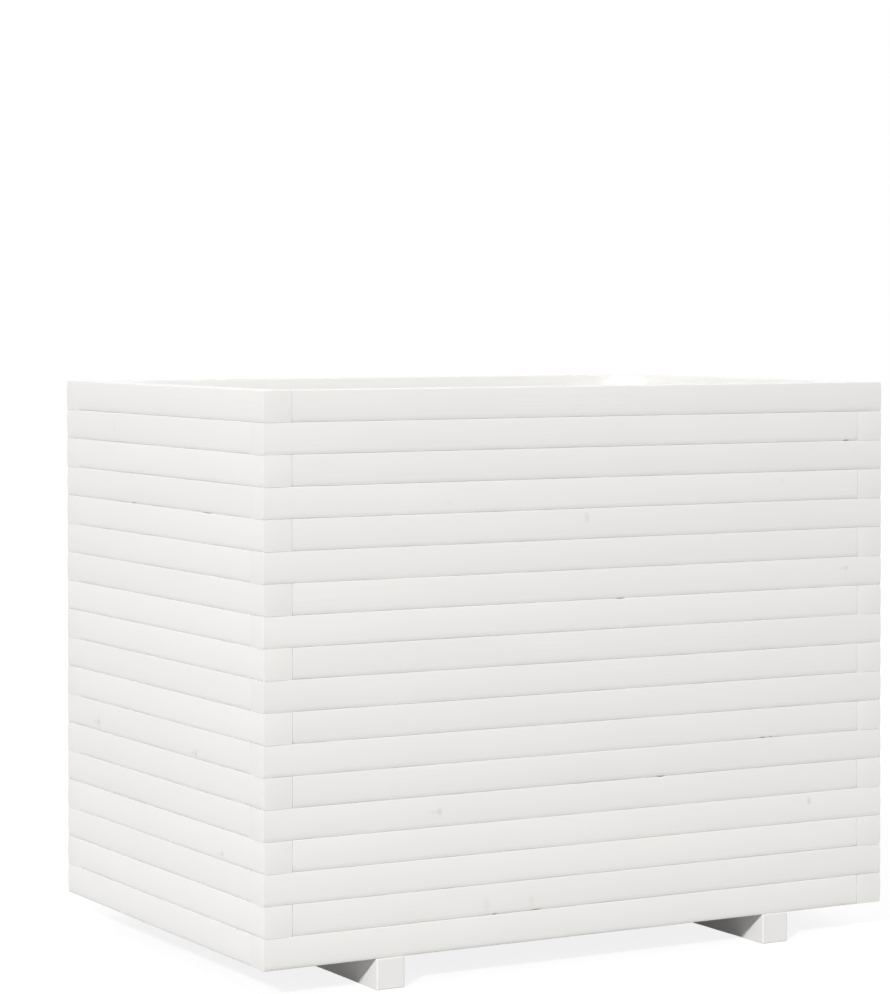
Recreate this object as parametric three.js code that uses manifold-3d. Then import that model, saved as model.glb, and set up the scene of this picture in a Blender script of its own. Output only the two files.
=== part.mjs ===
// A rectangular garden planter: square timber slats stacked in courses that lap at the corners,
// held by four inside posts, with a boarded floor, standing on two runners.
// Millimetres, +Z up. X runs along the long front and Y from front to back.
// The origin is on the ground, below the middle of the box.

import * as THREE from 'three';
import { mergeVertices } from 'three/addons/utils/BufferGeometryUtils.js';
import Module from 'manifold-3d';

const wasm = await Module();
wasm.setup();

// ---------------------------------------------------------------- driving dimensions

const boxLength = 900;
const boxDepth = 600;
const jointGap = 0.3; // between pieces that touch

const courseCount = 18;
const slatHeight = 37.7;
const slatThickness = 38;
const slatArris = 2.5;

const runnerWidth = 38;
const runnerHeight = 37.7;
const runnerInset = 150; // from each end of the box to the runner
const runnerArris = 2;

const postWidth = 45;
const postDrop = 14; // from the rim down to the top of a post
const postArris = 2;

const boardCount = 4;
const boardThickness = 18;
const boardArris = 2;
const drainGap = 8; // beside every floor board
const boardEndGap = 4;
const notchGap = 2; // round a post, in the corner of a floor board

const ribCover = 11; // timber outside the hidden rib of an end wall, on each face
const ribSetback = 20; // from the butted slat ends to the rib's ends

const floorScrewRadius = 2.2;
const floorScrewHeadRadius = 4.5;
const floorScrewSink = 0.6; // from the boards down to the head
const floorScrewBite = 27; // how far it goes into the runner

const runnerScrewRadius = 3;
const runnerScrewHeadRadius = 6;
const runnerScrewSink = 12; // from the runner's underside up to the head
const runnerScrewBite = 24; // how far it goes into the lowest slat

const screwTipHeight = 5;
const screwSocketRadius = 1.6;
const screwSocketDepth = 1.4;
const screwClearance = 0.3; // round a screw in its hole

const arrisSteps = 1; // each step rounds a quarter turn with two facets
const roundSides = 16;
const socketSides = 6;
const cutOverrun = 1; // how far a cut runs past the face it opens in

// ---------------------------------------------------------------- sizes that follow

const coursePitch = slatHeight + jointGap;
const wallBase = runnerHeight + jointGap;
const rim = wallBase + courseCount * coursePitch - jointGap;
const buttInset = slatThickness + jointGap;
const longSlatLength = boxLength - buttInset;
const shortSlatLength = boxDepth - buttInset;
const floorTop = wallBase + boardThickness;
const insideLength = boxLength - 2 * slatThickness;
const insideDepth = boxDepth - 2 * slatThickness;
const boardWidth = (insideDepth - (boardCount + 1) * drainGap) / boardCount;
const boardLength = insideLength - 2 * boardEndGap;
const runnerCentre = boxLength / 2 - runnerInset - runnerWidth / 2;
const wallCentre = (boxDepth - slatThickness) / 2;
const ribWidth = slatThickness - 2 * ribCover;
const postHeight = rim - postDrop - wallBase;
const postX = insideLength / 2 - jointGap - postWidth / 2;
const postY = insideDepth / 2 - jointGap - postWidth / 2;

const boardCentres = Array.from(
  { length: boardCount },
  (_, i) => -insideDepth / 2 + drainGap + boardWidth / 2 + i * (boardWidth + drainGap),
);

// ---------------------------------------------------------------- paint and metal

const paint = { color: 0xeeede9, roughness: 0.5, metalness: 0 };
const floorPaint = { color: 0xdcdad4, roughness: 0.7, metalness: 0 };
const zinc = { color: 0xb9bcc0, roughness: 0.35, metalness: 0.9 };

// ---------------------------------------------------------------- solids

function toSolid(geometry) {
  const bare = geometry.clone();
  bare.deleteAttribute('normal');
  bare.deleteAttribute('uv');
  const merged = mergeVertices(bare);
  const mesh = new wasm.Mesh({
    numProp: 3,
    vertProperties: new Float32Array(merged.attributes.position.array),
    triVerts: new Uint32Array(merged.index.array),
  });
  return new wasm.Manifold(mesh);
}

function toGeometry(solid) {
  const mesh = solid.getMesh();
  const geometry = new THREE.BufferGeometry();
  geometry.setAttribute('position', new THREE.BufferAttribute(mesh.vertProperties, 3));
  geometry.setIndex(new THREE.BufferAttribute(mesh.triVerts, 1));
  geometry.computeVertexNormals();
  return geometry;
}

function cutFrom(geometry, tools) {
  let solid = toSolid(geometry);
  for (const tool of tools) {
    solid = solid.subtract(toSolid(tool));
  }
  return toGeometry(solid);
}

// The section of a planed timber, with its arrises rounded.
function timberSection(width, height, arris) {
  const radius = Math.min(arris, width / 2, height / 2);
  const shape = new THREE.Shape();
  const x = width / 2 - radius;
  const y = height / 2 - radius;
  shape.absarc(x, y, radius, 0, Math.PI / 2);
  shape.absarc(-x, y, radius, Math.PI / 2, Math.PI);
  shape.absarc(-x, -y, radius, Math.PI, 1.5 * Math.PI);
  shape.absarc(x, -y, radius, 1.5 * Math.PI, 2 * Math.PI);
  return shape;
}

// A timber along +X, centred on Y and Z, that starts at x = 0.
function timber(length, width, height, arris) {
  const section = timberSection(height, width, arris);
  const geometry = new THREE.ExtrudeGeometry(section, {
    depth: length,
    bevelEnabled: false,
    curveSegments: arrisSteps,
  });
  return geometry.rotateY(Math.PI / 2);
}

// A solid turned about +Z from radius and height pairs that start and end on the axis.
function turned(profile, sides = roundSides) {
  const points = profile.map(([radius, z]) => new THREE.Vector2(radius, z));
  return new THREE.LatheGeometry(points, sides).rotateX(Math.PI / 2);
}

// ---------------------------------------------------------------- screws and their holes

// A countersunk screw that points down, with the top of its head at z = 0.
function screwGeometry({ radius, headRadius, length }) {
  const body = turned([
    [0, -length],
    [radius, screwTipHeight - length],
    [radius, radius - headRadius],
    [headRadius, 0],
    [0, 0],
  ]);
  const socket = turned(
    [
      [0, -screwSocketDepth],
      [screwSocketRadius, -screwSocketDepth],
      [screwSocketRadius, cutOverrun],
      [0, cutOverrun],
    ],
    socketSides,
  );
  return cutFrom(body, [socket]);
}

// What a screw takes out of the pieces round it, open above its head.
function screwHole({ radius, headRadius, length, sink }) {
  return turned([
    [0, -length - screwClearance],
    [radius + screwClearance, -length - screwClearance],
    [radius + screwClearance, radius - headRadius],
    [headRadius + screwClearance, 0],
    [headRadius + screwClearance, sink + cutOverrun],
    [0, sink + cutOverrun],
  ]);
}

const floorScrew = {
  radius: floorScrewRadius,
  headRadius: floorScrewHeadRadius,
  sink: floorScrewSink,
  length: floorTop - floorScrewSink - runnerHeight + floorScrewBite,
};
const runnerScrew = {
  radius: runnerScrewRadius,
  headRadius: runnerScrewHeadRadius,
  sink: runnerScrewSink,
  length: wallBase - runnerScrewSink + runnerScrewBite,
};

// The floor screws go down from the boards, and the runner screws go up from the runners.
const floorScrewZ = floorTop - floorScrew.sink;
const floorScrewPlaces = [-1, 1].flatMap((side) =>
  boardCentres.map((y, i) => ({ side, number: i + 1, x: side * runnerCentre, y })),
);
const runnerScrewPlaces = [-1, 1].flatMap((side) =>
  [-1, 1].map((end) => ({ side, end, x: side * runnerCentre, y: end * wallCentre })),
);

function floorHoles() {
  return floorScrewPlaces.map(({ x, y }) => screwHole(floorScrew).translate(x, y, floorScrewZ));
}

function runnerHoles() {
  return runnerScrewPlaces.map(({ x, y }) =>
    screwHole(runnerScrew).rotateX(Math.PI).translate(x, y, runnerScrew.sink),
  );
}

// ---------------------------------------------------------------- posts and their notches

const posts = [
  { name: 'front_left_post', x: -postX, y: -postY },
  { name: 'front_right_post', x: postX, y: -postY },
  { name: 'back_left_post', x: -postX, y: postY },
  { name: 'back_right_post', x: postX, y: postY },
];

// A notch reaches from the post out past the corner of the board.
function postNotches() {
  const width = postWidth + notchGap + cutOverrun + drainGap;
  const notch = new THREE.BoxGeometry(width, width, 2 * floorTop);
  const outwards = width / 2 - postWidth / 2 - notchGap;
  return posts.map(({ x, y }) =>
    notch.clone().translate(x + Math.sign(x) * outwards, y + Math.sign(y) * outwards, 0),
  );
}

// ---------------------------------------------------------------- the planter

const planter = new THREE.Group();

function addPiece(parent, name, geometry, finish) {
  const mesh = new THREE.Mesh(geometry, new THREE.MeshStandardMaterial(finish));
  mesh.name = name;
  parent.add(mesh);
  return mesh;
}

// Courses are counted from the rim down.
function courseCentre(course) {
  return wallBase + (courseCount - course) * coursePitch + slatHeight / 2;
}

function twoDigits(number) {
  return String(number).padStart(2, '0');
}

// On a wall, odd courses butt against the neighbour at the start and lap it at the end.
function slatStart(course, wallLength) {
  return -wallLength / 2 + (course % 2 ? buttInset : 0);
}

// A long wall at the front: separate slats, the lowest one drilled for the runner screws.
function longWall(side) {
  const wall = new THREE.Group();
  const slat = timber(longSlatLength, slatThickness, slatHeight, slatArris);
  for (let course = 1; course <= courseCount; course += 1) {
    const place = new THREE.Vector3(slatStart(course, boxLength), -wallCentre, courseCentre(course));
    const lowest = course === courseCount;
    const holes = runnerHoles().map((hole) => hole.translate(-place.x, -place.y, -place.z));
    const mesh = addPiece(
      wall,
      `${side}_slat_${twoDigits(course)}`,
      lowest ? cutFrom(slat, holes) : slat,
      paint,
    );
    mesh.position.copy(place);
  }
  return wall;
}

// An end wall, on the right: its offset slats joined by one hidden rib.
function endPanelGeometry() {
  const slat = timber(shortSlatLength, slatThickness, slatHeight, slatArris).rotateZ(Math.PI / 2);
  const x = (boxLength - slatThickness) / 2;
  const ribLength = boxDepth - 2 * (buttInset + ribSetback);
  const ribHeight = (courseCount - 1) * coursePitch;
  const rib = new THREE.BoxGeometry(ribWidth, ribLength, ribHeight);
  let panel = toSolid(rib.translate(x, 0, (wallBase + rim) / 2));
  for (let course = 1; course <= courseCount; course += 1) {
    const placed = slat.clone().translate(x, slatStart(course, boxDepth), courseCentre(course));
    panel = panel.add(toSolid(placed));
  }
  return toGeometry(panel);
}

function addWalls() {
  const front = longWall('front');
  const back = longWall('back');
  back.rotation.z = Math.PI;
  planter.add(front, back);

  const endPanel = endPanelGeometry();
  addPiece(planter, 'right_end_panel', endPanel, paint);
  addPiece(planter, 'left_end_panel', endPanel, paint).rotation.z = Math.PI;
}

function addPosts() {
  const post = timber(postHeight, postWidth, postWidth, postArris).rotateY(-Math.PI / 2);
  for (const { name, x, y } of posts) {
    addPiece(planter, name, post, paint).position.set(x, y, wallBase);
  }
}

function addRunners() {
  const bar = timber(boxDepth, runnerWidth, runnerHeight, runnerArris)
    .rotateZ(Math.PI / 2)
    .translate(0, -boxDepth / 2, runnerHeight / 2);
  for (const [name, side] of [['left', -1], ['right', 1]]) {
    const placed = bar.clone().translate(side * runnerCentre, 0, 0);
    addPiece(planter, `${name}_runner`, cutFrom(placed, [...floorHoles(), ...runnerHoles()]), paint);
  }
}

function addFloor() {
  const board = timber(boardLength, boardWidth, boardThickness, boardArris);
  const cuts = [...floorHoles(), ...postNotches()];
  boardCentres.forEach((y, i) => {
    const placed = board.clone().translate(-boardLength / 2, y, wallBase + boardThickness / 2);
    addPiece(planter, `floor_board_${i + 1}`, cutFrom(placed, cuts), floorPaint);
  });
}

function addScrews() {
  const sideName = { '-1': 'left', 1: 'right' };
  const endName = { '-1': 'front', 1: 'back' };
  const floorGeometry = screwGeometry(floorScrew);
  for (const { side, number, x, y } of floorScrewPlaces) {
    const name = `floor_screw_${sideName[side]}_${number}`;
    addPiece(planter, name, floorGeometry, zinc).position.set(x, y, floorScrewZ);
  }
  const runnerGeometry = screwGeometry(runnerScrew).rotateX(Math.PI);
  for (const { side, end, x, y } of runnerScrewPlaces) {
    const name = `runner_screw_${endName[end]}_${sideName[side]}`;
    addPiece(planter, name, runnerGeometry, zinc).position.set(x, y, runnerScrew.sink);
  }
}

addWalls();
addPosts();
addRunners();
addFloor();
addScrews();

export default planter;
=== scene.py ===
"""Looks of the slatted timber planter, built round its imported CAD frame.

Metres, +Z up. X runs along the long front and Y from front to back. Every timber is first made in
its own frame, with x along its length and z up, and is then laid in its place in the box. In a
slat's own frame y points towards the inside of the box.
"""
import math
import random

import bpy
import numpy as np
from mathutils import Matrix, Vector


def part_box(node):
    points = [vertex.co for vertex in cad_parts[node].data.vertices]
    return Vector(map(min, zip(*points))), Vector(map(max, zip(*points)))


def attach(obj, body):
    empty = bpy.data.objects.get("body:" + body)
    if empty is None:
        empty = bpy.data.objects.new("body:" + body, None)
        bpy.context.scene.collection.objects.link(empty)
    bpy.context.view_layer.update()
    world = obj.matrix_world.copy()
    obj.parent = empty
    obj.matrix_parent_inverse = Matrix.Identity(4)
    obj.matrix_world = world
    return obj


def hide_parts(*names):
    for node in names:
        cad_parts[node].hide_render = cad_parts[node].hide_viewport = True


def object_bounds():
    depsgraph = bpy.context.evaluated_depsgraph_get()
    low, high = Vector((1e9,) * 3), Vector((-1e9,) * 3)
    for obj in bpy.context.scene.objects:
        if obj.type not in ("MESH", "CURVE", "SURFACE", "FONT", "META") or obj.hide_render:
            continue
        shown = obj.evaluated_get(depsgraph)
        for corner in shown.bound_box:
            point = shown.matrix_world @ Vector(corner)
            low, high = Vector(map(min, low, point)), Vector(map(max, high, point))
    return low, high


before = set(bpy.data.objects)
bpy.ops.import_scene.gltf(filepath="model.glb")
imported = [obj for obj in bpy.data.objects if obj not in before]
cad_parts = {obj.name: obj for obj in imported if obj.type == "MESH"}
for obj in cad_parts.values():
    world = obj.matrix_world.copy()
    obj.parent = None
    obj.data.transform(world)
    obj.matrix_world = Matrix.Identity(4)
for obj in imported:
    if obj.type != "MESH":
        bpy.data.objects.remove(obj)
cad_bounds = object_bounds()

MM = 0.001
TAU = math.tau
BODY = "root"

# ---------------------------------------------------------------- sizes taken from the frame

box_low, box_high = (Vector(corner) for corner in cad_bounds)
BOX_LENGTH = box_high.x - box_low.x
BOX_DEPTH = box_high.y - box_low.y
slat_low, slat_high = (Vector(corner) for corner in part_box("front_slat_01"))
SLAT_HEIGHT = slat_high.z - slat_low.z
SLAT_THICKNESS = slat_high.y - slat_low.y
LAP = BOX_LENGTH - (slat_high.x - slat_low.x)
COURSES = 18
COURSE_HEIGHTS = [
    sum(corner[2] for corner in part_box(f"front_slat_{n:02d}")) / 2 for n in range(1, COURSES + 1)
]

# ---------------------------------------------------------------- what the timbers look like

# Radii of the arrises before wear. A slat's lower outer arris is the most worn.
SLAT_ARRIS = 0.5 * MM
SLAT_LOWER_ARRIS = 1.2 * MM
RUNNER_ARRIS = 1.2 * MM
POST_ARRIS = 2.0 * MM
BOARD_ARRIS = 1.8 * MM
SMALLEST_ARRIS = 0.1 * MM
ARRIS_STEPS = 4

# Wear of a slat's arrises, as a share of their radius: the least, a slow sway and a rough part.
LEAST_WEAR = 0.8
WEAR_SWAY = 0.5
RAGGED = 0.35

# A slat's faces are crowned, in part by the mesh and in part by the finish (in millimetres).
SLAT_CROWN = 0.4 * MM
PLANED_CROWN = 0.35
RUNNER_CROWN = 0.25 * MM
FACE_STEPS = (-0.99, -0.95, -0.9, -0.84, -0.72, -0.4, 0.0, 0.4, 0.72, 0.84, 0.9, 0.95, 0.99)

# The lowest part of a slat's outer face falls back, from this share of the half height down.
LOWER_FALL = 0.4 * MM
LOWER_FALL_FROM = 0.8

# Slats grow by this much up and down and settle by it, so that the courses nearly touch.
SLAT_CLOSES = 0.13 * MM

# Outer faces stand this far back from the box's outline, and sway, so that ends show at the laps.
SET_BACK = 0.35 * MM
SET_BACK_SWAY = 0.12 * MM
WAVE_TURNS = (1.2, 7.0)

# Sawn ends: the easing of their edges, how domed they are each way, how far out of square the saw
# ran, how far in from the end the timber gives way to this, and the outlines that fill the end.
SLAT_END_EASE = 0.12 * MM
END_EASE = 1.1 * MM
END_DOME_ACROSS = 0.3 * MM
END_DOME_UP = 0.45 * MM
END_SKEW = 0.5 * MM
END_REACH = 10 * MM
END_RINGS = (0.99, 0.95, 0.8, 0.55, 0.25)

# The outer face falls away a little before a butted end.
END_DIP = 0.12 * MM
END_DIP_REACH = 7 * MM

# Where sections are drawn: round the eased end, near it (millimetres in) and along the middle.
EASE_ANGLES = (90, 60, 30, 0)
END_STATIONS = (0.1, 0.8, 2.4, 4.4, 6.8, 10)
END_ZONE = 12 * MM
STATION_SPACING = 26 * MM
CHIP_STATIONS = 11

# The walls are the front wall turned about Z: name, degrees, length, distance of its outer face.
WALLS = [
    ("front", 0, BOX_LENGTH, BOX_DEPTH / 2),
    ("right", 90, BOX_DEPTH, BOX_LENGTH / 2),
    ("back", 180, BOX_LENGTH, BOX_DEPTH / 2),
    ("left", 270, BOX_DEPTH, BOX_LENGTH / 2),
]

# Knots that show through the paint, by wall and course from the rim down. In millimetres: along
# the wall from its middle, up from the middle of the slat, and the radius. Then how strongly it
# shows. A radius below 0 is a knot that is cut lengthwise and shows as an upright smear.
KNOTS = {
    ("front", 4): [(290.6, 7, -5, 0.2), (-199, -6, 3.0, 0.25)],
    ("front", 5): [(-4.1, 7, -6.5, 0.4)],
    ("front", 7): [(394.3, 4.1, 2.6, 1.0)],
    ("front", 14): [(-213.5, -0.7, 3.6, 1.0)],
    ("front", 15): [(334.9, 8.2, -4.8, 0.7)],
    ("front", 17): [(-148, -7, -8, 0.25), (-84, -8, -7, 0.25)],
    ("left", 2): [(-142, 0, -7, 0.15)],
    ("left", 12): [(-195, -8.3, 4.6, 1.0), (108, -13.0, 4.0, 1.1)],
    ("left", 15): [(184, -12, 4.0, 0.9)],
}

# Small chips in the outer arrises, in millimetres: along the wall from its middle, edge (1 upper,
# -1 lower), half length and depth.
CHIPS = {
    ("front", 2): [(394.3, -1, 6, 0.9)],
    ("front", 8): [(46, 1, 8, 0.9)],
    ("front", 12): [(262, -1, 5, 0.8), (275, -1, 4, 0.7)],
    ("front", 14): [(105.8, 1, 7, 0.9)],
    ("front", 17): [(-135, -1, 4, 0.8), (-76, -1, 10, 0.6)],
    ("left", 4): [(-80, -1, 7, 0.65)],
    ("left", 5): [(140, 1, 16, 0.5)],
}
CHIP_REACH = 1.5 * MM
CHIP_SLANT = 0.6

# A chip is coloured dark grey in its middle, and its edge keeps the paint's colour.
CHIP_GREY_SHARE = 1.1
CHIP_MARGIN = 0.15

# The finish knows two knots by name. One that a timber doesn't have lies far away from it.
KNOT_NAMES = ("knot_a", "knot_b")
NO_KNOT = (9.0, 0, 2 * MM, 0)

# End grain starts this far in from a slat's end, or at this share of another timber's easing.
SLAT_END_GRAIN = 2 * MM
EASE_END_GRAIN = 0.3

# The pith's distance in half heights beyond the timber's side, and how many seeds noise has.
PITH_DISTANCE = (0.7, 2.2)
SEEDS = 97


# ---------------------------------------------------------------- camera

LENS = 115.219
SENSOR = 36
SHIFT = (-0.0519, -0.1316)
CAMERA_PLACE = (-2.0794, -3.6632, 0.8155)
CAMERA_TURN = (89, 0, -30.045)
FARTHEST_SEEN = 100


def photo_camera():
    data = bpy.data.cameras.new("photo_camera")
    data.lens = LENS
    data.sensor_width = SENSOR
    data.shift_x, data.shift_y = SHIFT
    data.clip_end = FARTHEST_SEEN
    camera = bpy.data.objects.new("photo_camera", data)
    camera.location = CAMERA_PLACE
    camera.rotation_euler = [math.radians(angle) for angle in CAMERA_TURN]
    bpy.context.collection.objects.link(camera)
    bpy.context.scene.camera = camera


# ---------------------------------------------------------------- shader maths


class Shade:
    """A socket in a node tree. Arithmetic on it adds Math nodes."""

    def __init__(self, recipe, socket):
        self.recipe = recipe
        self.socket = socket

    def math(self, operation, *others, clamp=False):
        settings = {"operation": operation, "use_clamp": clamp}
        return self.recipe.node("ShaderNodeMath", settings, dict(enumerate((self, *others))))

    def output(self, name):
        return Shade(self.recipe, self.socket.node.outputs[name])

    def __add__(self, other):
        return self.math("ADD", other)

    def __mul__(self, other):
        return self.math("MULTIPLY", other)

    def __sub__(self, other):
        return self.math("SUBTRACT", other)

    def __truediv__(self, other):
        return self.math("DIVIDE", other)

    def __pow__(self, other):
        return self.math("POWER", other)

    def __rsub__(self, other):
        return (self * -1) + other

    __radd__ = __add__
    __rmul__ = __mul__

    def clamped(self):
        return self.math("ADD", 0, clamp=True)


class Recipe:
    """The node tree of one finish."""

    def __init__(self, tree):
        self.tree = tree
        tree.nodes.clear()

    def node(self, kind, settings=None, sockets=None, output=None):
        node = self.tree.nodes.new(kind)
        for key, value in (settings or {}).items():
            setattr(node, key, value)
        for key, value in (sockets or {}).items():
            target = node.inputs[key] if isinstance(key, int) else self.named(node.inputs, key)
            if isinstance(value, Shade):
                self.tree.links.new(value.socket, target)
            else:
                target.default_value = value
        if not node.outputs:
            return node
        if output:
            return Shade(self, self.named(node.outputs, output))
        return Shade(self, next(socket for socket in node.outputs if socket.enabled))

    @staticmethod
    def named(sockets, name):
        return next(socket for socket in sockets if socket.name == name and socket.enabled)

    def attribute(self, name, output="Fac"):
        return self.node("ShaderNodeAttribute", {"attribute_name": name}, output=output)

    def parts(self, vector):
        x = self.node("ShaderNodeSeparateXYZ", None, {"Vector": vector}, "X")
        return x, x.output("Y"), x.output("Z")

    def stretched(self, vector, scale):
        return self.node("ShaderNodeVectorMath", {"operation": "MULTIPLY"}, {0: vector, 1: scale})

    def noise(self, vector, seed, detail=2.0, roughness=0.5):
        settings = {"noise_dimensions": "4D"}
        sockets = {
            "Vector": vector, "W": seed, "Scale": 1.0, "Detail": detail, "Roughness": roughness,
        }
        return self.node("ShaderNodeTexNoise", settings, sockets, "Fac")

    def blended(self, factor, low, high):
        sockets = {"Factor": factor, "A": low, "B": high}
        return self.node("ShaderNodeMix", {"data_type": "RGBA"}, sockets)

    def bumped(self, height_mm):
        sockets = {"Height": height_mm, "Distance": MM, "Strength": 1.0}
        return self.node("ShaderNodeBump", None, sockets)

    def surface(self, sockets):
        shader = self.node("ShaderNodeBsdfPrincipled", None, sockets)
        self.node("ShaderNodeOutputMaterial", None, {"Surface": shader})


def new_finish(name):
    material = bpy.data.materials.new(name)
    material.use_nodes = True
    return material, Recipe(material.node_tree)


# ---------------------------------------------------------------- finishes

PAINT = (0.858, 0.850, 0.832, 1)
PAINT_OVER_LATEWOOD = (0.80, 0.787, 0.757, 1)
PAINT_OVER_KNOT = (0.50, 0.49, 0.475, 1)
CHIP_DARK_GREY = (0.49, 0.47, 0.44, 1)
PAINT_SPECULAR = 0.4
RING_SPACING = 3.4 * MM
LATEWOOD_SHARPNESS = 4

# How often each pattern repeats to the metre: along the timber, across it and up it.
WANDER_SCALE = (2.4, 16, 16)
FIBRE_SCALE = (14, 620, 620)
CLOUD_SCALE = (5, 22, 22)
ORANGE_PEEL_SCALE = (420, 420, 420)
CLOUD_SEED_STEP = 7.3

# How much each part of the timber shows in the paint's colour.
HOLLOW_SHOWS = 0.3
SLIT_SHOWS = 0.5
STREAK_SHOWS = 0.16
LATEWOOD_SHOWS = 1.3
FIBRE_SHOWS = 0.7
END_GRAIN_SHOWS = 0.05
TONE_SHOWS = 0.012
CLOUD_SHOWS = 0.06

# How far each part stands out from the surface, in millimetres.
LATEWOOD_RELIEF = -0.09
FIBRE_RELIEF = 0.05
ORANGE_PEEL_RELIEF = 0.012
CLOUD_RELIEF = 0.25
HOLLOW_RELIEF = -0.32
SLIT_RELIEF = -0.25


def painted_timber(name, cover, roughness):
    """White paint on planed pine. The less it covers, the more the grain and knots show."""
    material, recipe = new_finish(name)
    place = recipe.attribute("place", "Vector")
    pith = recipe.attribute("pith", "Vector")
    seed = recipe.attribute("seed")
    tone = recipe.attribute("tone")
    chip = recipe.attribute("chip")
    end = recipe.attribute("end_grain")
    planed_crown = recipe.attribute("planed_crown")
    along, across, up = recipe.parts(place)
    pith_across, pith_up, _ = recipe.parts(pith)

    wander = recipe.noise(recipe.stretched(place, WANDER_SCALE), seed, detail=3) - 0.5
    fibre = recipe.noise(recipe.stretched(place, FIBRE_SCALE), seed, detail=3, roughness=0.6)
    cloud = recipe.noise(recipe.stretched(place, CLOUD_SCALE), seed + CLOUD_SEED_STEP, detail=3)
    orange_peel = recipe.noise(recipe.stretched(place, ORANGE_PEEL_SCALE), seed, detail=2)

    # Each knot bends the rings round it. One cut across has a hollow heart and a streak beside it,
    # and one cut lengthwise is a slit.
    bend, hollow, slit, streak = 0, 0, 0, 0
    for knot_name in KNOT_NAMES:
        knot_along, knot_up, signed_radius = recipe.parts(recipe.attribute(knot_name, "Vector"))
        knot_radius = signed_radius.math("ABSOLUTE")
        strength = recipe.attribute(f"{knot_name}_strength")
        cut_lengthwise = signed_radius.math("LESS_THAN", 0) * strength
        cut_across = signed_radius.math("GREATER_THAN", 0) * strength
        step_along = (along - knot_along + wander * (2 * MM)) / knot_radius
        step_up = (up - knot_up) / knot_radius
        off_along = step_along * step_along
        off_up = step_up * step_up
        bend = ((off_along + off_up) * -0.15).math("EXPONENT") + bend
        hollow = (off_along * -1.3 - off_up * 0.7).math("EXPONENT") * cut_across + hollow
        slit = (off_along * -4 - off_up * off_up).math("EXPONENT") * cut_lengthwise + slit
        tail = step_along + 2
        streak = (tail * tail * -0.25 - off_up * 3).math("EXPONENT") * cut_across + streak

    side_across = across - pith_across
    side_up = up - pith_up
    radius = (side_across * side_across + side_up * side_up).math("SQRT")
    ring_phase = (radius + wander * (9 * MM) + bend * (5 * MM)) * (TAU / RING_SPACING)
    latewood = (ring_phase.math("SINE") * 0.5 + 0.5) ** LATEWOOD_SHARPNESS
    heart = (hollow * HOLLOW_SHOWS + slit * SLIT_SHOWS + streak * STREAK_SHOWS).clamped()

    shows = 1 - cover
    patch = ((cloud - 0.38) * 3.2).clamped()
    streaks = latewood * patch * (LATEWOOD_SHOWS * shows)
    grain = (streaks + (fibre - 0.5) * (FIBRE_SHOWS * shows)).clamped()
    colour = recipe.blended(grain + end * END_GRAIN_SHOWS, PAINT, PAINT_OVER_LATEWOOD)
    colour = recipe.blended(heart, colour, PAINT_OVER_KNOT)
    level = 1 + tone * TONE_SHOWS + (cloud - 0.5) * CLOUD_SHOWS
    colour = recipe.node(
        "ShaderNodeVectorMath", {"operation": "SCALE"}, {"Vector": colour, "Scale": level}
    )
    # The middle of each chip is coloured dark grey.
    colour = recipe.blended(chip, colour, CHIP_DARK_GREY)

    relief = (
        latewood * patch * (LATEWOOD_RELIEF * (0.4 + shows))
        + (fibre - 0.5) * FIBRE_RELIEF
        + orange_peel * ORANGE_PEEL_RELIEF
        + cloud * CLOUD_RELIEF
        + hollow * HOLLOW_RELIEF
        + slit * SLIT_RELIEF
        - up * up * planed_crown
    )
    recipe.surface({
        "Base Color": colour,
        "Roughness": (cloud - 0.5) * 0.16 + chip * 0.3 + end * 0.08 + roughness,
        "Normal": recipe.bumped(relief),
        "Specular IOR Level": PAINT_SPECULAR,
    })
    return material


ZINC_DARK = (0.50, 0.51, 0.53, 1)
ZINC_LIGHT = (0.70, 0.70, 0.68, 1)
SPANGLE_SCALE = (700, 700, 700)
SCRATCH_SCALE = (300, 2600, 2600)
DULL_SCALE = (180, 180, 180)


def zinc_plated_steel():
    material, recipe = new_finish("zinc_plated_steel")
    place = recipe.attribute("place", "Vector")
    seed = recipe.attribute("seed")
    spangle = recipe.noise(recipe.stretched(place, SPANGLE_SCALE), seed, detail=3)
    scratch = recipe.noise(recipe.stretched(place, SCRATCH_SCALE), seed + 3, detail=2)
    dull = recipe.noise(recipe.stretched(place, DULL_SCALE), seed + 5, detail=2)
    recipe.surface({
        "Base Color": recipe.blended(spangle, ZINC_DARK, ZINC_LIGHT),
        "Metallic": 1.0,
        "Roughness": dull * 0.25 + spangle * 0.1 + 0.2,
        "Normal": recipe.bumped(scratch * 0.01 + spangle * 0.008),
    })
    return material


# ---------------------------------------------------------------- pieces


def new_mesh(name, vertices, faces):
    mesh = bpy.data.meshes.new(name)
    mesh.from_pydata([tuple(v) for v in vertices], [], faces)
    mesh.validate()
    return mesh


def write_attribute(mesh, name, values):
    """One number, or one vector, for every vertex."""
    values = np.asarray(values, dtype=np.float32)
    if values.ndim == 1:
        attribute = mesh.attributes.new(name, "FLOAT", "POINT")
        attribute.data.foreach_set("value", values)
    else:
        attribute = mesh.attributes.new(name, "FLOAT_VECTOR", "POINT")
        attribute.data.foreach_set("vector", values.ravel())


def read_vertices(mesh):
    flat = np.empty(len(mesh.vertices) * 3, dtype=np.float32)
    mesh.vertices.foreach_get("co", flat)
    return flat.reshape(-1, 3).astype(float)


def add_piece(name, mesh, laid, material, nodes):
    """Lays a mesh in its place and makes it a piece that rides on the planter."""
    mesh.transform(laid)
    mesh.materials.append(material)
    piece = bpy.data.objects.new(name, mesh)
    bpy.context.collection.objects.link(piece)
    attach(piece, BODY)
    if nodes:
        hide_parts(*nodes)
    return piece


# ---------------------------------------------------------------- timbers


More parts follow.
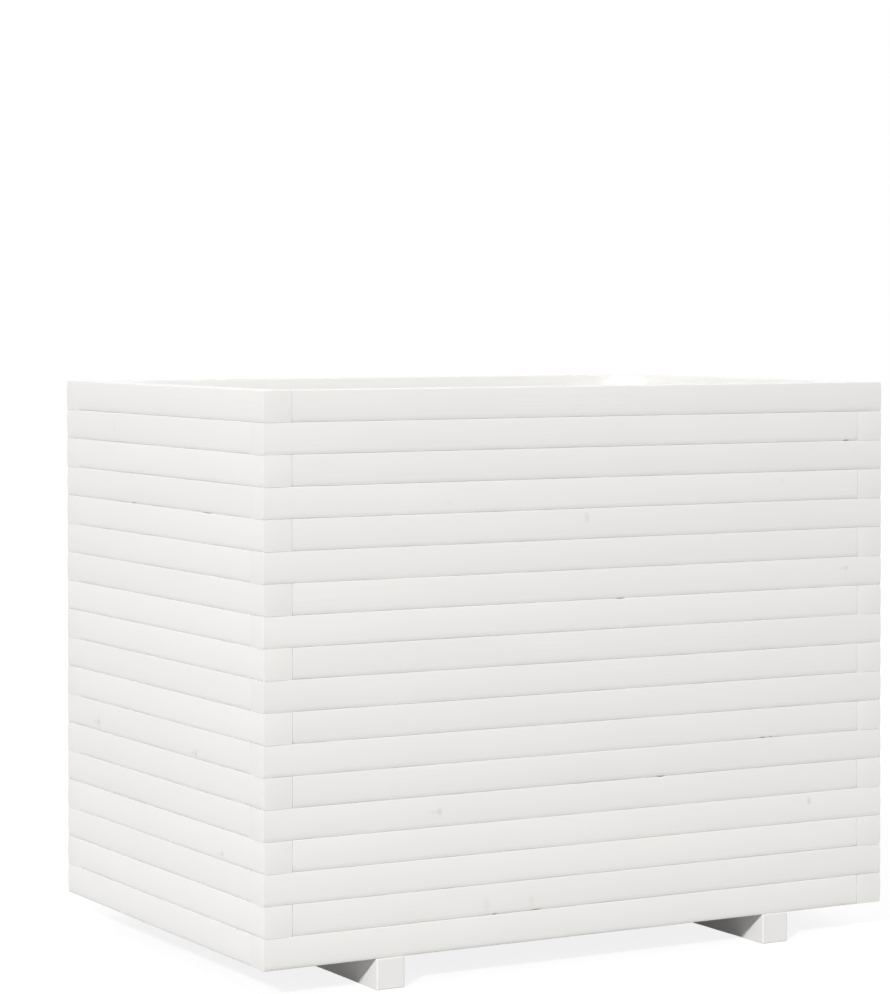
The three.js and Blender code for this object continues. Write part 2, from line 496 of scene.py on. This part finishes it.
class Timber:
    """A planed timber in its own frame, centred, with x along its length.

    The lapped end, 1 or -1, is the one that shows in the next wall. A timber with a crown is worn.
    """

    def __init__(
        self, length, width, height, arris, seed, lower_arris=None, crown=0.0, fall=0.0,
        ease=END_EASE, lapped_end=0, set_back=0.0, dip=0.0, knots=(), chips=(),
    ):
        self.half = (length / 2, width / 2, height / 2)
        self.arris = (arris, arris, lower_arris or arris, arris)
        self.seed = seed
        self.crown = crown
        self.fall = fall
        self.ease = ease
        self.lapped_end = lapped_end
        self.set_back = set_back
        self.dip = dip
        self.random = random.Random(seed)
        self.knots = [(x * MM, z * MM, radius * MM, strength) for x, z, radius, strength in knots]
        self.chips = [
            (x * MM, edge * height / 2, reach * MM, depth * MM) for x, edge, reach, depth in chips
        ]

    def stations(self):
        """Places along the timber and how far its section is drawn in there."""
        half_length = self.half[0]
        ease = [
            (self.ease * (1 - math.sin(t)), self.ease * (1 - math.cos(t)))
            for t in np.radians(EASE_ANGLES)
        ]
        ease += [(self.ease + step * MM, 0.0) for step in END_STATIONS]
        inner = half_length - self.ease
        count = max(2, round(2 * inner / STATION_SPACING))
        middle = set(np.linspace(-inner, inner, count + 1)[1:-1])
        for x, _, reach, _ in self.chips:
            middle |= {x + reach * step for step in np.linspace(-1, 1, CHIP_STATIONS)}
        middle = sorted(x for x in middle if abs(x) < inner - END_ZONE)
        return (
            [(-half_length + x, inset) for x, inset in ease]
            + [(x, 0.0) for x in middle]
            + [(half_length - x, inset) for x, inset in reversed(ease)]
        )

    def slow_wave(self, amount):
        """A smooth random course along the timber, between 0 and the amount."""
        waves = [
            (self.random.uniform(*WAVE_TURNS), self.random.uniform(0, TAU)) for _ in range(3)
        ]
        return lambda x: amount * (0.5 + sum(math.sin(x * k + p) for k, p in waves) / 6)

    def ring(self, inset, wear, set_back):
        """The section's points, anticlockwise with y to the right and z up."""
        _, half_width, half_height = self.half
        right = half_width - inset - self.crown
        left = set_back - right
        top = half_height - inset
        corners = [(right, top), (left, top), (left + self.fall, -top), (right, -top)]
        radii = [max(arris * wear - inset, SMALLEST_ARRIS) for arris in self.arris]
        points = []
        for number, ((y, z), radius) in enumerate(zip(corners, radii)):
            centre_y = y - math.copysign(radius, y)
            centre_z = z - math.copysign(radius, z)
            for step in range(ARRIS_STEPS + 1):
                angle = (number + step / ARRIS_STEPS) * TAU / 4
                points.append(
                    (centre_y + radius * math.cos(angle), centre_z + radius * math.sin(angle))
                )
            start = points[-1]
            upright = number % 2 == 1
            after = (number + 1) % 4
            finish_y, finish_z = corners[after]
            if upright:
                finish_z -= math.copysign(radii[after], finish_z)
            else:
                finish_y -= math.copysign(radii[after], finish_y)
            for s in FACE_STEPS:
                share = (s + 1) / 2
                y_face = start[0] + (finish_y - start[0]) * share
                z_face = start[1] + (finish_z - start[1]) * share
                if upright:
                    stands_out = self.crown * (1 - s * s)
                    lowest = max(0.0, (s - LOWER_FALL_FROM) / (1 - LOWER_FALL_FROM))
                    outer = left - stands_out + self.fall * lowest * lowest
                    y_face = outer if number == 1 else right + stands_out
                points.append((y_face, z_face))
        return points

    def mesh(self, name):
        lean = self.slow_wave(SET_BACK_SWAY)
        softness = self.slow_wave(WEAR_SWAY)
        rings = []
        for x, inset in self.stations():
            ragged = self.random.uniform(-RAGGED, RAGGED) if self.crown else 0.0
            wear = LEAST_WEAR + softness(x) + ragged
            set_back = self.set_back + lean(x) + self.end_dip(x) if self.crown else 0.0
            section = self.ring(inset, wear, set_back)
            rings.append([(x, y, z) for y, z in section])
        rings = self.end_rings(rings[0])[::-1] + rings + self.end_rings(rings[-1])
        vertices = np.array([point for ring in rings for point in ring])
        vertices = self.chipped(self.sawn(vertices))
        return new_mesh(name, vertices, ring_faces(len(rings), len(rings[0])))

    def end_dip(self, x):
        """How far the outer face falls away just before the butted end."""
        share = max(0.0, 1 - (self.half[0] - x) / END_DIP_REACH)
        return self.dip * share * share

    def end_rings(self, outline):
        """The end face as ever smaller outlines."""
        return [[(x, y * share, z * share) for x, y, z in outline] for share in END_RINGS]

    def sawn(self, vertices):
        """Domes the lapped end, and saws it a little short on the inner side.

        Its proudest point keeps the timber's length.
        """
        if not self.lapped_end:
            return vertices
        half_length, half_width, half_height = self.half
        across = vertices[:, 1] / half_width
        up = vertices[:, 2] / half_height
        dome = END_DOME_ACROSS * across ** 2 + END_DOME_UP * up ** 2
        shorter = dome + END_SKEW * (across + 1) / 2
        proudest = END_SKEW / 2 - END_SKEW ** 2 / (16 * END_DOME_ACROSS)
        from_end = half_length - self.lapped_end * vertices[:, 0]
        near_end = np.clip(1 - from_end / END_REACH, 0, 1)
        vertices[:, 0] -= self.lapped_end * near_end * (shorter - proudest)
        return vertices

    def chip_weight(self, vertices, x, z, reach):
        """1 in the middle of a chip in an outer arris, falling to 0 at its edge."""
        outer = vertices[:, 1] < 0
        off = ((vertices[:, 0] - x) / reach) ** 2 + ((vertices[:, 2] - z) / CHIP_REACH) ** 2
        return np.where(outer, np.clip(1 - off, 0, 1), 0)

    def chipped(self, vertices):
        """Presses the chips into the outer arrises."""
        for x, z, reach, depth in self.chips:
            weight = self.chip_weight(vertices, x, z, reach)
            vertices[:, 1] += weight * depth
            vertices[:, 2] -= weight * depth * CHIP_SLANT * math.copysign(1, z)
        return vertices

    def dress(self, mesh):
        """Writes what the finish reads, once the shape is done."""
        vertices = read_vertices(mesh)
        count = len(vertices)
        half_length, half_width, half_height = self.half
        write_attribute(mesh, "place", vertices)
        write_attribute(mesh, "seed", np.full(count, self.seed % SEEDS))
        write_attribute(mesh, "tone", np.full(count, self.random.uniform(-1, 1)))
        planed_crown = PLANED_CROWN / half_height ** 2 if self.lapped_end else 0.0
        write_attribute(mesh, "planed_crown", np.full(count, planed_crown))
        end_grain = SLAT_END_GRAIN if self.lapped_end else self.ease * EASE_END_GRAIN
        write_attribute(mesh, "end_grain", np.abs(vertices[:, 0]) > half_length - end_grain)
        pith_angle = self.random.uniform(0, TAU)
        pith_distance = self.random.uniform(*PITH_DISTANCE) * half_height + half_width
        pith = (pith_distance * math.cos(pith_angle), pith_distance * math.sin(pith_angle), 0)
        write_attribute(mesh, "pith", np.tile(pith, (count, 1)))
        knots = [*self.knots, NO_KNOT, NO_KNOT]
        for knot_name, (*knot, strength) in zip(KNOT_NAMES, knots):
            write_attribute(mesh, knot_name, np.tile(knot, (count, 1)))
            write_attribute(mesh, f"{knot_name}_strength", np.full(count, strength))
        chip = np.zeros(count)
        for x, z, reach, _ in self.chips:
            chip = np.maximum(chip, self.chip_weight(vertices, x, z, reach))
        write_attribute(mesh, "chip", np.clip(chip * CHIP_GREY_SHARE - CHIP_MARGIN, 0, 1))
        mesh.shade_smooth()

    def cut(self, mesh, cutter):
        """The mesh with the cutter taken out of it."""
        timber = bpy.data.objects.new("uncut", mesh)
        tool = bpy.data.objects.new("cutter", cutter)
        for item in (timber, tool):
            bpy.context.collection.objects.link(item)
        modifier = timber.modifiers.new("cut", "BOOLEAN")
        modifier.operation = "DIFFERENCE"
        modifier.solver = "EXACT"
        modifier.object = tool
        bpy.context.view_layer.update()
        evaluated = timber.evaluated_get(bpy.context.evaluated_depsgraph_get())
        result = bpy.data.meshes.new_from_object(evaluated)
        result.name = mesh.name
        for item, data in ((timber, mesh), (tool, cutter)):
            bpy.data.objects.remove(item)
            bpy.data.meshes.remove(data)
        return result


# ---------------------------------------------------------------- turned and cut shapes


def ring_faces(rings, around):
    """Faces between rings of the same count, closed at both ends."""
    faces = [
        (i * around + j, i * around + (j + 1) % around,
         (i + 1) * around + (j + 1) % around, (i + 1) * around + j)
        for i in range(rings - 1)
        for j in range(around)
    ]
    faces.append(tuple(reversed(range(around))))
    faces.append(tuple(range((rings - 1) * around, rings * around)))
    return faces


def turned(profile, around):
    """Vertices and faces turned about z from radius and height pairs, lowest first."""
    angles = np.arange(around) * TAU / around
    vertices = [
        (radius * math.cos(a), radius * math.sin(a), z) for radius, z in profile for a in angles
    ]
    return np.array(vertices), ring_faces(len(profile), around)


def joined(name, parts):
    """One mesh of several sets of vertices and faces."""
    vertices, faces = [], []
    for part_vertices, part_faces in parts:
        start = len(vertices)
        vertices.extend(part_vertices)
        faces.extend(tuple(start + v for v in face) for face in part_faces)
    return new_mesh(name, vertices, faces)


def moved(part, matrix):
    vertices, faces = part
    grid = np.c_[vertices, np.ones(len(vertices))] @ np.array(matrix).T
    return grid[:, :3], faces


def block(low, high):
    """A plain box for cutting with."""
    corners = [
        (x, y, z) for z in (low[2], high[2]) for y in (low[1], high[1]) for x in (low[0], high[0])
    ]
    faces = [(0, 2, 3, 1), (4, 5, 7, 6), (0, 1, 5, 4), (2, 6, 7, 3), (0, 4, 6, 2), (1, 3, 7, 5)]
    return np.array(corners), faces


# ---------------------------------------------------------------- screws

# Lengths in a screw, and shares of its radius, its length or its head's radius.
HEAD_EDGE = 0.35 * MM
SCREW_EASE = 0.12 * MM
SCREW_TIP = 0.1 * MM
SCREW_BEND = math.radians(35)
PITCH_TO_RADIUS = 1.05
STEPS_PER_TURN = 5
TAPER_TO_RADIUS = 3.2
PLAIN_TAPER_TO_RADIUS = 2.5
THREAD_ROOT = 0.68
PLAIN_ROOT = 0.8
NECK = 0.82
NECK_SHARE = 0.25
SOCKET_TO_HEAD = 0.46
LOBES = 6
LOBE_DEPTH = 0.14
HOLE_EDGE = 0.3 * MM
HOLE_SIDES = 24


class Screw:
    """A countersunk screw with a six-lobed socket, pointing down, its head's top at z = 0."""

    def __init__(self, radius, head_radius, length, around=36, threaded=True):
        self.radius = radius
        self.head_radius = head_radius
        self.length = length
        self.around = around
        self.threaded = threaded
        self.pitch = radius * PITCH_TO_RADIUS
        self.head_height = (head_radius - radius) + HEAD_EDGE

    def angles(self):
        return [TAU * j / self.around for j in range(self.around)]

    def circle(self, radius, z):
        return [(radius * math.cos(a), radius * math.sin(a), z) for a in self.angles()]

    def lobed(self, radius, z):
        """The socket's outline."""
        reaches = [(a, radius * (1 + LOBE_DEPTH * math.cos(LOBES * a))) for a in self.angles()]
        return [(reach * math.cos(a), reach * math.sin(a), z) for a, reach in reaches]

    def thread(self, z):
        """A ring of the threaded shank, which rises round the screw."""
        taper = min(1.0, (z + self.length) / (TAPER_TO_RADIUS * self.radius))
        ring = []
        for j, a in enumerate(self.angles()):
            turn = (z / self.pitch - j / self.around) % 1
            flank = max(0.0, 1 - abs(turn - 0.5) * 4)
            r = self.radius * taper * (THREAD_ROOT + (1 - THREAD_ROOT) * flank)
            ring.append((r * math.cos(a), r * math.sin(a), z))
        return ring

    def part(self):
        tip = -self.length
        neck = -self.head_height - NECK_SHARE * self.length
        socket = self.head_radius * SOCKET_TO_HEAD
        rings = [self.circle(SCREW_TIP, tip)]
        if self.threaded:
            steps = round((neck - tip) / (self.pitch / STEPS_PER_TURN))
            rings += [self.thread(tip + (neck - tip) * i / steps) for i in range(1, steps + 1)]
        else:
            shoulder = tip + PLAIN_TAPER_TO_RADIUS * self.radius
            rings += [self.circle(self.radius * PLAIN_ROOT, shoulder)]
        rings += [
            self.circle(self.radius * NECK, neck + 0.5 * MM),
            self.circle(self.radius * NECK, -self.head_height - 0.4 * MM),
            self.circle(self.radius, -self.head_height),
            self.circle(self.head_radius, -HEAD_EDGE),
            self.circle(self.head_radius, -SCREW_EASE),
            self.circle(self.head_radius - SCREW_EASE, 0),
            self.lobed(socket + SCREW_EASE, 0),
            self.lobed(socket, -0.15 * MM),
            self.lobed(socket * 0.93, -socket * 0.95),
            self.circle(socket * 0.3, -socket * 1.15),
        ]
        vertices = np.array([point for ring in rings for point in ring])
        return vertices, ring_faces(len(rings), self.around)

    def hole(self, depth, clearance, sink):
        """The countersunk hole that takes this screw, open above its head as far as the sink."""
        profile = [
            (self.radius + clearance, -depth),
            (self.radius + clearance, -self.head_height),
            (self.head_radius + clearance, -HOLE_EDGE),
            (self.head_radius + clearance, sink),
        ]
        return turned(profile, HOLE_SIDES)


def dress_screws(mesh, seed):
    vertices = read_vertices(mesh)
    write_attribute(mesh, "place", vertices)
    write_attribute(mesh, "seed", np.full(len(vertices), seed))
    mesh.shade_smooth()
    mesh.set_sharp_from_angle(angle=SCREW_BEND)


# ---------------------------------------------------------------- the four walls

SEEN_WALLS = ("front", "left")
LONG_WALLS = ("front", "back")
WALL_SEED_STEP = 100
WALL_ROLLS = 41

# Knots in the other walls: the share of slats that have any, how many, and as KNOTS gives them.
KNOTTY_SHARE = 0.4
KNOT_COUNTS = (1, 1, 2)
KNOT_FREE_END = 40
KNOT_RISE = 14
KNOT_RADII = (2.4, 4.2)
KNOT_STRENGTHS = (0.4, 1)


def place_knot(rolls, reach, rise, radii):
    """A random place and radius for a knot, in millimetres."""
    return rolls.uniform(-reach, reach), rolls.uniform(-rise, rise), rolls.uniform(*radii)


def wall_knots(wall, course, length, rolls):
    """The knots seen in a slat, or a few at random where nothing is known of it."""
    if wall in SEEN_WALLS:
        return KNOTS.get((wall, course), [])
    if rolls.random() > KNOTTY_SHARE:
        return []
    reach = length / MM / 2 - KNOT_FREE_END
    return [
        (*place_knot(rolls, reach, KNOT_RISE, KNOT_RADII), rolls.uniform(*KNOT_STRENGTHS))
        for _ in range(rolls.choice(KNOT_COUNTS))
    ]


def lay_walls(paint):
    rolls = random.Random(WALL_ROLLS)
    for wall_number, (wall, degrees, length, outer) in enumerate(WALLS):
        for course, height in enumerate(COURSE_HEIGHTS, start=1):
            odd = course % 2 == 1
            start = -length / 2 + (LAP if odd else 0)
            centre = start + (length - LAP) / 2
            knots = wall_knots(wall, course, length, rolls)
            chips = CHIPS.get((wall, course), [])
            timber = Timber(
                length - LAP, SLAT_THICKNESS, SLAT_HEIGHT + 2 * SLAT_CLOSES, SLAT_ARRIS,
                seed=WALL_SEED_STEP * wall_number + course, lower_arris=SLAT_LOWER_ARRIS,
                crown=SLAT_CROWN, fall=LOWER_FALL, ease=SLAT_END_EASE,
                lapped_end=1 if odd else -1, set_back=SET_BACK,
                dip=0.0 if odd or wall == "left" else END_DIP,
                knots=[(x - centre / MM, *rest) for x, *rest in knots],
                chips=[(x - centre / MM, *rest) for x, *rest in chips],
            )
            name = f"{wall}_course_{course:02d}"
            mesh = timber.mesh(name)
            timber.dress(mesh)
            laid = Matrix.Rotation(math.radians(degrees), 4, "Z") @ Matrix.Translation(
                (centre, -outer + SLAT_THICKNESS / 2, height - SLAT_CLOSES)
            )
            node = f"{wall}_slat_{course:02d}" if wall in LONG_WALLS else f"{wall}_end_panel"
            add_piece(name, mesh, laid, paint, [node])


# ---------------------------------------------------------------- corner posts and their screws

POST_SCREW = Screw(
    radius=2.25 * MM, head_radius=4.4 * MM, length=68 * MM, around=30, threaded=False
)
POST_SCREW_RISE = 5 * MM
POST_SCREW_EDGE = 8 * MM
POST_SCREW_SINK = 0.3 * MM
POST_HOLE_DEPTH = 8 * MM
POST_HOLE_CLEARANCE = 0.15 * MM
HOLE_OVERRUN = 4 * MM
TIMBER_BEND = math.radians(40)
POSTS = [("front", "left"), ("front", "right"), ("back", "left"), ("back", "right")]
POST_NODES = [f"{end}_{side}_post" for end, side in POSTS]
POST_ROLLS = 77
POST_SEED = 500
POST_KNOTS = (280, 14, (3, 5))
POST_KNOT_STRENGTH = 0.9


def box_of(node):
    """The low and high corners of a CAD node's box."""
    low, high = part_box(node)
    return Vector(low), Vector(high)


def post_screw_places(low, high):
    """Where each screw's head sits, and which way it points: one into each wall, every course."""
    centre = (low + high) / 2
    outward = Vector((math.copysign(1, centre.x), math.copysign(1, centre.y), 0))
    half_width = (high.x - low.x) / 2 - POST_SCREW_SINK
    for height in COURSE_HEIGHTS:
        top = min(height + POST_SCREW_RISE, high.z - POST_SCREW_EDGE)
        top_head = Vector((centre.x, centre.y - outward.y * half_width, top))
        yield top_head, Vector((0, outward.y, 0))
        low_head = Vector((centre.x - outward.x * half_width, centre.y, top - 2 * POST_SCREW_RISE))
        yield low_head, Vector((outward.x, 0, 0))


def pointed(head, direction, spin):
    """The matrix that lays a screw that points down along the direction, from its head."""
    turn = direction.to_track_quat("-Z", "Y").to_matrix().to_4x4()
    return Matrix.Translation(head) @ turn @ Matrix.Rotation(spin, 4, "Z")


def add_cut_timber(node, timber, laid, cuts, paint):
    """Adds the piece that stands for a CAD node, with holes and notches given where they lie."""
    unlaid = laid.inverted()
    cutter = joined(f"{node}_cuts", [moved(part, unlaid) for part in cuts])
    mesh = timber.cut(timber.mesh(f"{node}_timber"), cutter)
    timber.dress(mesh)
    mesh.set_sharp_from_angle(angle=TIMBER_BEND)
    add_piece(f"{node}_timber", mesh, laid, paint, [node])


def stand_posts(paint, steel):
    rolls = random.Random(POST_ROLLS)
    for number, node in enumerate(POST_NODES):
        low, high = box_of(node)
        size = high - low
        knots = [(*place_knot(rolls, *POST_KNOTS), POST_KNOT_STRENGTH) for _ in KNOT_NAMES]
        timber = Timber(size.z, size.x, size.y, POST_ARRIS, seed=POST_SEED + number, knots=knots)
        laid = Matrix.Translation((low + high) / 2) @ Matrix.Rotation(-math.pi / 2, 4, "Y")
        places = [
            pointed(head, direction, rolls.uniform(0, TAU))
            for head, direction in post_screw_places(low, high)
        ]
        hole = POST_SCREW.hole(POST_HOLE_DEPTH, POST_HOLE_CLEARANCE, HOLE_OVERRUN)
        holes = [moved(hole, place) for place in places]
        add_cut_timber(node, timber, laid, holes, paint)
        screws = joined(f"{node}_screws", [moved(POST_SCREW.part(), place) for place in places])
        dress_screws(screws, number)
        add_piece(screws.name, screws, Matrix(), steel, [])


# ---------------------------------------------------------------- runners and floor

FLOOR_SCREW_NODES = [f"floor_screw_{side}_{n}" for side in ("left", "right") for n in range(1, 5)]
RUNNER_SCREW_NODES = [
    f"runner_screw_{end}_{side}" for side in ("left", "right") for end in ("front", "back")
]
HOLE_CLEARANCE = 0.3 * MM
BOARD_SIDE_SINK = 30 * MM + HOLE_OVERRUN
RUNNER_SINK = 12 * MM + HOLE_OVERRUN
BOARD_SINK = 4 * MM + HOLE_OVERRUN
NOTCH_GAP = 2 * MM
NOTCH_OVERRUN = 60 * MM
NOTCH_TOP = 90 * MM
RUNNER_SEED = 600
RUNNER_KNOTS = {
    "left": [(60, -6, 4.2, 1.0), (-170, 8, 3.4, 0.7)],
    "right": [(-130, -6, 4.2, 1.0), (130, 8, 3.4, 0.7)],
}
BOARDS = 4
BOARD_SEED = 700
BOARD_KNOTS = (370, 45, (5, 9))
BOARD_KNOT_STRENGTH = 1.6
FLOOR_ROLLS = 58
SPIN_STEP = 0.7


def screw_in_frame(node, points_up):
    """The screw that stands for a CAD screw, and the matrix that lays it."""
    low, high = box_of(node)
    middle = (low + high) / 2
    head_radius = (high.x - low.x) / 2
    screw = Screw(head_radius / 2, head_radius, high.z - low.z)
    if points_up:
        foot = Matrix.Translation((middle.x, middle.y, low.z))
        return screw, foot @ Matrix.Rotation(math.pi, 4, "X")
    return screw, Matrix.Translation((middle.x, middle.y, high.z))


FLOOR_SCREWS = [(node, *screw_in_frame(node, False)) for node in FLOOR_SCREW_NODES]
RUNNER_SCREWS = [(node, *screw_in_frame(node, True)) for node in RUNNER_SCREW_NODES]


def holes_near(screws, low, high, sink):
    """The holes of the screws that pass through a timber's box."""
    for _, screw, laid in screws:
        head = laid.translation
        if low.x < head.x < high.x and low.y < head.y < high.y:
            yield moved(screw.hole(screw.length, HOLE_CLEARANCE, sink), laid)


def lay_runners(paint):
    for number, (side, knots) in enumerate(RUNNER_KNOTS.items()):
        node = f"{side}_runner"
        low, high = box_of(node)
        size = high - low
        timber = Timber(
            size.y, size.x, size.z, RUNNER_ARRIS,
            seed=RUNNER_SEED + number, crown=RUNNER_CROWN, knots=knots,
        )
        laid = Matrix.Translation((low + high) / 2) @ Matrix.Rotation(math.pi / 2, 4, "Z")
        holes = [
            *holes_near(FLOOR_SCREWS, low, high, BOARD_SIDE_SINK),
            *holes_near(RUNNER_SCREWS, low, high, RUNNER_SINK),
        ]
        add_cut_timber(node, timber, laid, holes, paint)


def post_notches():
    """What the corner posts take out of the floor boards, each from its post outwards."""
    for node in POST_NODES:
        low, high = box_of(node)
        middle = (low + high) / 2
        outward = Vector((math.copysign(1, middle.x), math.copysign(1, middle.y), 0))
        inner = middle - outward * (high.x - middle.x + NOTCH_GAP)
        outer = middle + outward * NOTCH_OVERRUN
        corner_low = [min(a, b) for a, b in zip(inner, outer)]
        corner_high = [max(a, b) for a, b in zip(inner, outer)]
        corner_low[2], corner_high[2] = 0, NOTCH_TOP
        yield block(corner_low, corner_high)


def lay_floor(thin_paint):
    rolls = random.Random(FLOOR_ROLLS)
    for number in range(1, BOARDS + 1):
        node = f"floor_board_{number}"
        low, high = box_of(node)
        size = high - low
        knots = [(*place_knot(rolls, *BOARD_KNOTS), BOARD_KNOT_STRENGTH) for _ in KNOT_NAMES]
        timber = Timber(size.x, size.z, size.y, BOARD_ARRIS, seed=BOARD_SEED + number, knots=knots)
        laid = Matrix.Translation((low + high) / 2) @ Matrix.Rotation(-math.pi / 2, 4, "X")
        cuts = [*holes_near(FLOOR_SCREWS, low, high, BOARD_SINK), *post_notches()]
        add_cut_timber(node, timber, laid, cuts, thin_paint)


def drive_screws(steel):
    for number, (node, screw, laid) in enumerate([*FLOOR_SCREWS, *RUNNER_SCREWS]):
        mesh = joined(f"{node}_steel", [screw.part()])
        dress_screws(mesh, number)
        spin = Matrix.Rotation(number * SPIN_STEP, 4, "Z")
        add_piece(mesh.name, mesh, laid @ spin, steel, [node])


# ---------------------------------------------------------------- floor, lamps and world

FLOOR_REACH = 12.0
FLOOR_CORNERS = [(-1, -1), (1, -1), (1, 1), (-1, 1)]
KEY_PLACE = (-10.6, -9.7, 7.75)
KEY_AIM = (0, 0, 0.36)
KEY_POWER = 2325
KEY_SIZE = 1.15
SKY_LOW = 0.12
SKY_RISE = 0.6
FLOOR_BOUNCE = 0.27
NEAR_BOUNCE = 0.12
SHADOW_SHARE = 0.2
SHADOW_REACH = 1.9
SHADOW_FADE = 0.9
FLOOR_GLOW = 1.06
REFLECTOR_TOWARDS = (0.8, 0.6, 0.0)
REFLECTOR_EDGE = 0.6
REFLECTOR = 6.0
WHITE = (1, 1, 1, 1)


def seen_directly(recipe):
    """1 for camera rays, and for what metal or glass shows."""
    camera = recipe.node("ShaderNodeLightPath", None, None, "Is Camera Ray")
    glossy = camera.output("Is Glossy Ray")
    through = camera.output("Is Transmission Ray")
    return camera.math("MAXIMUM", glossy).math("MAXIMUM", through)


def studio_floor():
    """A white floor. The camera sees it glow, with a faint shadow near the planter."""
    corners = [(x * FLOOR_REACH, y * FLOOR_REACH, 0) for x, y in FLOOR_CORNERS]
    mesh = new_mesh("studio_floor", corners, [(0, 1, 2, 3)])
    floor = bpy.data.objects.new("studio_floor", mesh)
    bpy.context.collection.objects.link(floor)
    material, recipe = new_finish("studio_floor_white")
    mesh.materials.append(material)
    position = recipe.node("ShaderNodeNewGeometry", None, None, "Position")
    distance = recipe.node("ShaderNodeVectorMath", {"operation": "LENGTH"}, {0: position}, "Value")
    near = ((SHADOW_REACH - distance) / SHADOW_FADE).clamped()
    pale = near * NEAR_BOUNCE + FLOOR_BOUNCE
    bounce = recipe.node("ShaderNodeBsdfDiffuse", None, {"Color": pale})
    diffuse = recipe.node("ShaderNodeBsdfDiffuse", None, {"Color": WHITE})
    glow = recipe.node("ShaderNodeEmission", None, {"Color": WHITE, "Strength": FLOOR_GLOW})
    sockets = {0: near * SHADOW_SHARE, 1: glow, 2: diffuse}
    shadowed = recipe.node("ShaderNodeMixShader", None, sockets)
    sockets = {0: seen_directly(recipe), 1: bounce, 2: shadowed}
    shown = recipe.node("ShaderNodeMixShader", None, sockets)
    recipe.node("ShaderNodeOutputMaterial", None, {"Surface": shown})


def key_lamp():
    data = bpy.data.lights.new("key_lamp", "AREA")
    data.shape = "DISK"
    data.size = KEY_SIZE
    data.energy = KEY_POWER
    lamp = bpy.data.objects.new("key_lamp", data)
    lamp.location = KEY_PLACE
    lamp.visible_camera = False
    beam = Vector(KEY_AIM) - Vector(KEY_PLACE)
    lamp.rotation_euler = beam.to_track_quat("-Z", "Y").to_euler()
    bpy.context.collection.objects.link(lamp)


def studio_world():
    """A sky that brightens upwards, with a pale reflector that fills the walls in the shade."""
    world = bpy.data.worlds.new("studio_world")
    bpy.context.scene.world = world
    world.use_nodes = True
    recipe = Recipe(world.node_tree)
    direction = recipe.node("ShaderNodeTexCoord", None, None, "Generated")
    _, _, height = recipe.parts(direction)
    sockets = {0: direction, 1: REFLECTOR_TOWARDS}
    facing = recipe.node("ShaderNodeVectorMath", {"operation": "DOT_PRODUCT"}, sockets, "Value")
    reflector = (facing - REFLECTOR_EDGE).clamped() * REFLECTOR
    sky = height * SKY_RISE + SKY_LOW + reflector
    ambient = recipe.node("ShaderNodeBackground", None, {"Color": WHITE, "Strength": sky})
    backdrop = recipe.node("ShaderNodeBackground", None, {"Color": WHITE, "Strength": 1.0})
    sockets = {0: seen_directly(recipe), 1: ambient, 2: backdrop}
    shown = recipe.node("ShaderNodeMixShader", None, sockets)
    recipe.node("ShaderNodeOutputWorld", None, {"Surface": shown})


# ---------------------------------------------------------------- the scene

bpy.context.scene.view_settings.view_transform = "Standard"
photo_camera()
studio_world()
studio_floor()
key_lamp()

white_paint = painted_timber("white_satin_paint", cover=0.9, roughness=0.46)
thin_paint = painted_timber("thin_white_paint", cover=0.55, roughness=0.6)
steel = zinc_plated_steel()

lay_walls(white_paint)
stand_posts(white_paint, steel)
lay_runners(white_paint)
lay_floor(thin_paint)
drive_screws(steel)
